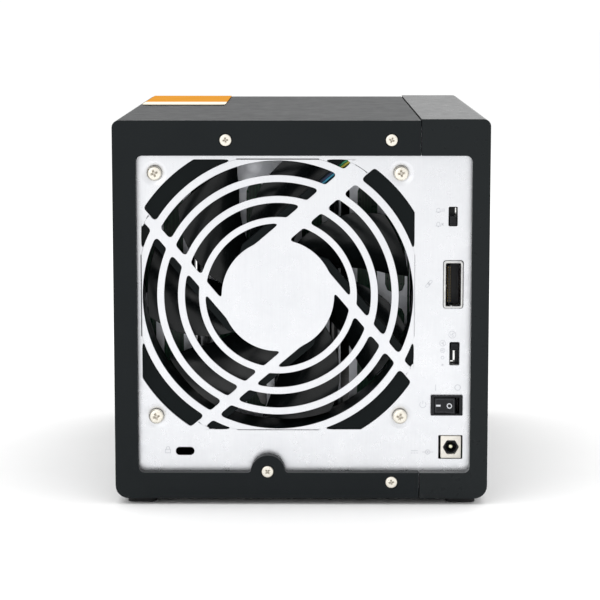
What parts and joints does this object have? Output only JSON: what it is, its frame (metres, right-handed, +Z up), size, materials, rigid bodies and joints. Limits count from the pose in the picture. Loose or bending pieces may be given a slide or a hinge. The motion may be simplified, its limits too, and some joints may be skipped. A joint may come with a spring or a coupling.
{
  "type": "nas enclosure",
  "caption": "Desktop drive enclosure: a two-part black shell with front drive trays on levers, and a bare metal rear panel with a spiral fan grille, switches and sockets.",
  "frame": {"origin": "middle of the footprint, on the plane that the rubber feet stand on", "axes": "+X to the right seen from the front, +Y to the rear where the fan and sockets are, +Z up"},
  "size_m": [0.16, 0.219, 0.166],
  "materials": {
    "shell_plastic": "fine moulded texture",
    "bare_sheet": "brushed sheet",
    "dark_plastic": "satin",
    "screw_metal": "nickel plated",
    "ivory_plastic": "satin",
    "circuit_board": "solder mask",
    "winding": "enamelled wire",
    "cable_black": "sleeved",
    "connector_white": "moulded",
    "smoked_lens": "polished",
    "rubber": "matte",
    "label": "printed film"
  },
  "bodies": {
    "enclosure": {"backplane_board": "circuit_board", "backplane_bracket": "bare_sheet", "buzzer_switch_body": "bare_sheet", "cage_bottom": "bare_sheet", "cage_top": "bare_sheet", "cage_wall_1": "bare_sheet", "cage_wall_2": "bare_sheet", "cage_wall_3": "bare_sheet", "cage_wall_4": "bare_sheet", "cage_wall_5": "bare_sheet", "control_cover": "shell_plastic", "control_panel": "shell_plastic", "controller_board": "circuit_board", "drive_socket_1": "dark_plastic", "drive_socket_2": "dark_plastic", "drive_socket_3": "dark_plastic", "drive_socket_4": "dark_plastic", "fan_cable": "cable_black", "fan_frame": "dark_plastic", "fan_header": "connector_white", "fan_screw_1": "screw_metal", "fan_screw_2": "screw_metal", "fan_screw_3": "screw_metal", "fan_screw_4": "screw_metal", "fan_stator": "winding", "fan_switch_body": "bare_sheet", "foot_1": "rubber", "foot_2": "rubber", "foot_3": "rubber", "foot_4": "rubber", "frame_screw_1": "screw_metal", "frame_screw_2": "screw_metal", "frame_screw_3": "screw_metal", "frame_screw_4": "screw_metal", "front_bezel": "shell_plastic", "indicator_window": "smoked_lens", "link_insert": "dark_plastic", "link_shell": "bare_sheet", "main_cover": "shell_plastic", "power_pin": "screw_metal", "power_socket": "ivory_plastic", "rear_panel": "bare_sheet", "rocker_bezel": "dark_plastic", "top_label": "label"},
    "rotor": {"fan_rotor": "dark_plastic"},
    "power_rocker": {"rocker": "dark_plastic"},
    "buzzer_knob": {"buzzer_slider": "dark_plastic"},
    "fan_knob": {"fan_slider": "dark_plastic"},
    "drive_tray_1": {"tray_1": "shell_plastic"},
    "tray_lever_1": {"lever_1": "shell_plastic"},
    "drive_tray_2": {"tray_2": "shell_plastic"},
    "tray_lever_2": {"lever_2": "shell_plastic"},
    "drive_tray_3": {"tray_3": "shell_plastic"},
    "tray_lever_3": {"lever_3": "shell_plastic"},
    "drive_tray_4": {"tray_4": "shell_plastic"},
    "tray_lever_4": {"lever_4": "shell_plastic"}
  },
  "joints": [
    {"name": "fan_spin", "type": "hinge", "parent": "enclosure", "child": "rotor", "pos_m": [0.01, 0.0777, 0.0903], "axis": [0, 1, 0], "continuous": true},
    {"name": "rocker_tilt", "type": "hinge", "parent": "enclosure", "child": "power_rocker", "pos_m": [-0.0626, 0.101, 0.0427], "axis": [0, 0, 1], "range_deg": [0, 20]},
    {"name": "buzzer_slide", "type": "slide", "parent": "enclosure", "child": "buzzer_knob", "axis": [0, 0, 1], "range_m": [0, 0.0034]},
    {"name": "fan_speed_slide", "type": "slide", "parent": "enclosure", "child": "fan_knob", "axis": [0, 0, -1], "range_m": [0, 0.0046]},
    {"name": "tray_1_slide", "type": "slide", "parent": "enclosure", "child": "drive_tray_1", "axis": [0, -1, 0], "range_m": [0, 0.15]},
    {"name": "lever_1_swing", "type": "hinge", "parent": "drive_tray_1", "child": "tray_lever_1", "pos_m": [-0.0325, -0.10585, 0.026], "axis": [1, 0, 0], "range_deg": [0, 75]},
    {"name": "tray_2_slide", "type": "slide", "parent": "enclosure", "child": "drive_tray_2", "axis": [0, -1, 0], "range_m": [0, 0.15]},
    {"name": "lever_2_swing", "type": "hinge", "parent": "drive_tray_2", "child": "tray_lever_2", "pos_m": [-0.0015, -0.10585, 0.026], "axis": [1, 0, 0], "range_deg": [0, 75]},
    {"name": "tray_3_slide", "type": "slide", "parent": "enclosure", "child": "drive_tray_3", "axis": [0, -1, 0], "range_m": [0, 0.15]},
    {"name": "lever_3_swing", "type": "hinge", "parent": "drive_tray_3", "child": "tray_lever_3", "pos_m": [0.0295, -0.10585, 0.026], "axis": [1, 0, 0], "range_deg": [0, 75]},
    {"name": "tray_4_slide", "type": "slide", "parent": "enclosure", "child": "drive_tray_4", "axis": [0, -1, 0], "range_m": [0, 0.15]},
    {"name": "lever_4_swing", "type": "hinge", "parent": "drive_tray_4", "child": "tray_lever_4", "pos_m": [0.0605, -0.10585, 0.026], "axis": [1, 0, 0], "range_deg": [0, 75]}
  ]
}
